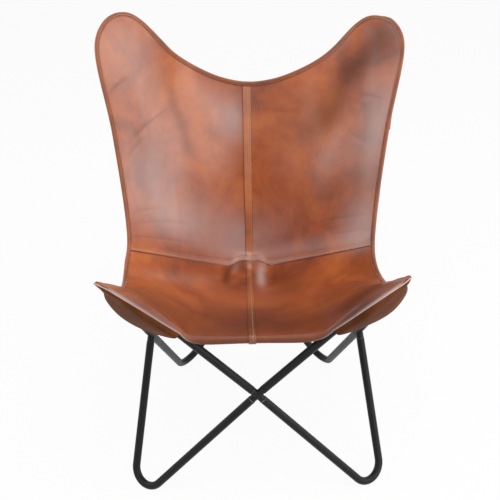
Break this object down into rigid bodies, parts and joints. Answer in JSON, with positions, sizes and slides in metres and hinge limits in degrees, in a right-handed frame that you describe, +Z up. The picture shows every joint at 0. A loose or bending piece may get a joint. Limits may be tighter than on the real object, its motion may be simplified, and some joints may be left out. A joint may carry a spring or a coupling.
{
  "type": "butterfly sling chair",
  "caption": "Low lounge chair: a sewn leather sling hung by corner pockets from the horns of a knock-down frame of bent black steel tube.",
  "frame": {"origin": "on the floor under the middle of the whole chair's box", "axes": "+Z up, +Y from the chair's front to its back, +X to the right of someone who looks at the front"},
  "size_m": [0.7004, 0.6952, 0.8977],
  "materials": {
    "frame_black": "satin black powder coat",
    "tan_leather": "burnished semi-gloss, with darker brown patches"
  },
  "bodies": {
    "root": {"front_cross": "frame_black", "rear_cross": "frame_black", "left_cross": "frame_black", "right_cross": "frame_black", "front_left_leg": "frame_black", "front_right_leg": "frame_black", "rear_left_leg": "frame_black", "rear_right_leg": "frame_black", "front_left_horn": "frame_black", "front_right_horn": "frame_black", "rear_left_horn": "frame_black", "rear_right_horn": "frame_black", "left_seat_panel": "tan_leather", "right_seat_panel": "tan_leather", "left_back_panel": "tan_leather", "right_back_panel": "tan_leather", "seat_centre_strip": "tan_leather", "back_centre_strip": "tan_leather", "cross_seam_strip": "tan_leather", "top_edge_hem": "tan_leather", "left_edge_hem": "tan_leather", "right_edge_hem": "tan_leather", "front_edge_roll": "tan_leather", "front_left_pocket": "tan_leather", "front_right_pocket": "tan_leather", "rear_left_pocket": "tan_leather", "rear_right_pocket": "tan_leather"}
  },
  "joints": []
}
